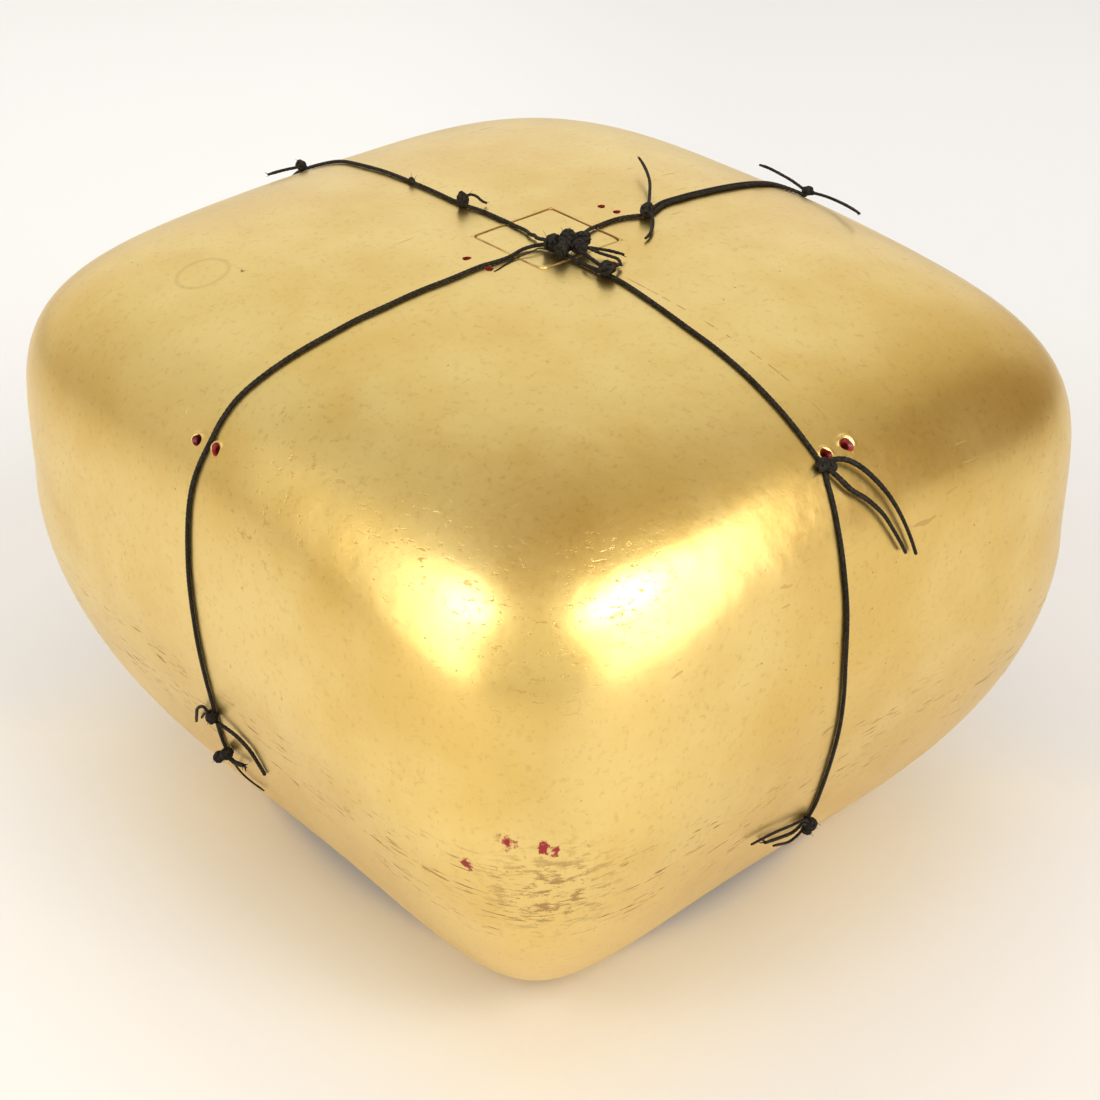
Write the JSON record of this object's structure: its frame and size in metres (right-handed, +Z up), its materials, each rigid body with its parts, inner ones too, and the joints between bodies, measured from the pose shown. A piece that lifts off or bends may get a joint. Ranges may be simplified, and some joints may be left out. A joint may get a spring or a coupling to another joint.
{
  "type": "gilded hollow shell",
  "caption": "Hollow rounded-square shell in gilded red lacquer, open underneath, with a square plaque in its crown and paired lacing holes, tied crosswise with thin waxed cord.",
  "frame": {"origin": "on the ground plane, below the middle of the crown", "axes": "+Z up, +X towards the right-hand face with the long cord tails, -Y towards the front face; faces square to X and Y"},
  "size_m": [0.3043, 0.2816, 0.2226],
  "materials": {
    "gilded_shell": "burnished gold leaf over red lacquer, satin, worn and pitted",
    "gilded_plaque": "burnished gold leaf over red lacquer",
    "waxed_cord": "twisted, waxed, faint sheen"
  },
  "bodies": {
    "root": {"shell": "gilded_shell", "crown_plaque": "gilded_plaque", "cord_left": "waxed_cord", "cord_left_under": "waxed_cord", "cord_crown_left": "waxed_cord", "cord_crown_right": "waxed_cord", "cord_right": "waxed_cord", "cord_right_side": "waxed_cord", "cord_front": "waxed_cord", "cord_front_link": "waxed_cord", "cord_crown_back": "waxed_cord", "cord_back": "waxed_cord", "cord_back_under": "waxed_cord", "tail_right_upper": "waxed_cord", "tail_right_lower": "waxed_cord", "tail_front": "waxed_cord", "knot_centre": "waxed_cord", "knot_crown_left": "waxed_cord", "knot_crown_right": "waxed_cord", "knot_crown_back": "waxed_cord", "knot_left_edge": "waxed_cord", "knot_right_shoulder": "waxed_cord", "knot_right_rim": "waxed_cord", "knot_back_edge": "waxed_cord", "knot_front_side": "waxed_cord", "knot_front_rim": "waxed_cord"}
  },
  "joints": []
}
